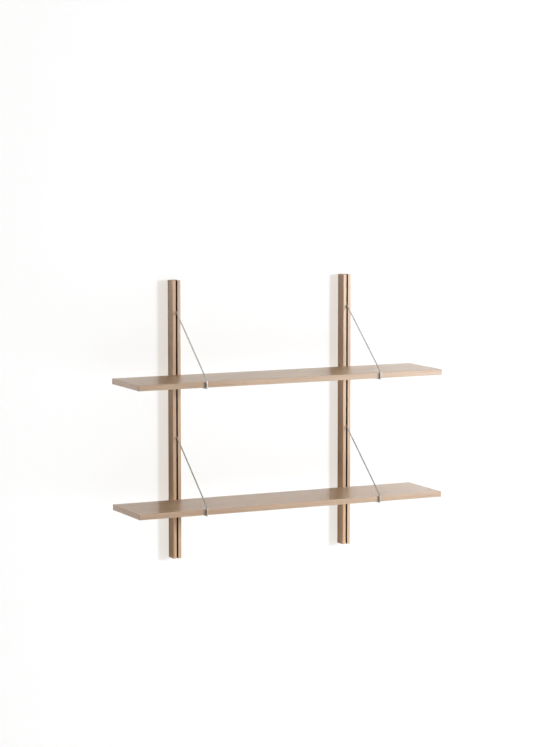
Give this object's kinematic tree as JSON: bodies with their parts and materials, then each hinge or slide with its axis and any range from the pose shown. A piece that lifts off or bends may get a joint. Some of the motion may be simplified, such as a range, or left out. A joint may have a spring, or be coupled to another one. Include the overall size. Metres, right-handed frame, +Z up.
{
  "type": "wall shelf",
  "caption": "Wall shelf: slim lipped wood boards held by bent wire brackets that hook into grooved upright wall rails.",
  "frame": {"origin": "on the wall plane, midway between the two rails, level with the rails' lower ends", "axes": "+X along the boards, +Y into the wall, +Z up; the boards and brackets stand out towards -Y"},
  "size_m": [1, 0.2573, 0.84],
  "materials": {
    "rail_wood": "satin oiled hardwood",
    "board_veneer": "satin lacquered veneer",
    "lip_wood": "satin lacquered hardwood",
    "wire_steel": "satin nickel plate",
    "pin_steel": "ground",
    "hanger_zinc": "zinc plated",
    "screw_steel": "zinc plated"
  },
  "bodies": {
    "rails": {"rail_left": "rail_wood", "rail_right": "rail_wood", "pin_left_1": "pin_steel", "pin_left_2": "pin_steel", "pin_left_3": "pin_steel", "pin_left_4": "pin_steel", "pin_left_5": "pin_steel", "pin_left_6": "pin_steel", "pin_left_7": "pin_steel", "pin_left_8": "pin_steel", "pin_right_1": "pin_steel", "pin_right_2": "pin_steel", "pin_right_3": "pin_steel", "pin_right_4": "pin_steel", "pin_right_5": "pin_steel", "pin_right_6": "pin_steel", "pin_right_7": "pin_steel", "pin_right_8": "pin_steel", "hanger_left_top": "hanger_zinc", "hanger_left_bottom": "hanger_zinc", "hanger_right_top": "hanger_zinc", "hanger_right_bottom": "hanger_zinc", "hanger_screw_left_top_high": "screw_steel", "hanger_screw_left_top_low": "screw_steel", "hanger_screw_left_bottom_high": "screw_steel", "hanger_screw_left_bottom_low": "screw_steel", "hanger_screw_right_top_high": "screw_steel", "hanger_screw_right_top_low": "screw_steel", "hanger_screw_right_bottom_high": "screw_steel", "hanger_screw_right_bottom_low": "screw_steel"},
    "upper_brackets": {"wire_upper_left": "wire_steel", "wire_upper_right": "wire_steel"},
    "upper_board": {"upper_board_core": "board_veneer", "upper_front_lip": "lip_wood", "upper_back_lip": "lip_wood", "upper_end_band_left": "lip_wood", "upper_end_band_right": "lip_wood"},
    "lower_brackets": {"wire_lower_left": "wire_steel", "wire_lower_right": "wire_steel"},
    "lower_board": {"lower_board_core": "board_veneer", "lower_front_lip": "lip_wood", "lower_back_lip": "lip_wood", "lower_end_band_left": "lip_wood", "lower_end_band_right": "lip_wood"}
  },
  "joints": [
    {"name": "upper_lift", "type": "slide", "parent": "rails", "child": "upper_brackets", "axis": [0, 0, 1], "range_m": [0, 0.01]},
    {"name": "upper_board_shift", "type": "slide", "parent": "upper_brackets", "child": "upper_board", "axis": [1, 0, 0], "range_m": [-0.2, 0.2]},
    {"name": "lower_lift", "type": "slide", "parent": "rails", "child": "lower_brackets", "axis": [0, 0, 1], "range_m": [0, 0.01]},
    {"name": "lower_board_shift", "type": "slide", "parent": "lower_brackets", "child": "lower_board", "axis": [1, 0, 0], "range_m": [-0.2, 0.2]}
  ]
}
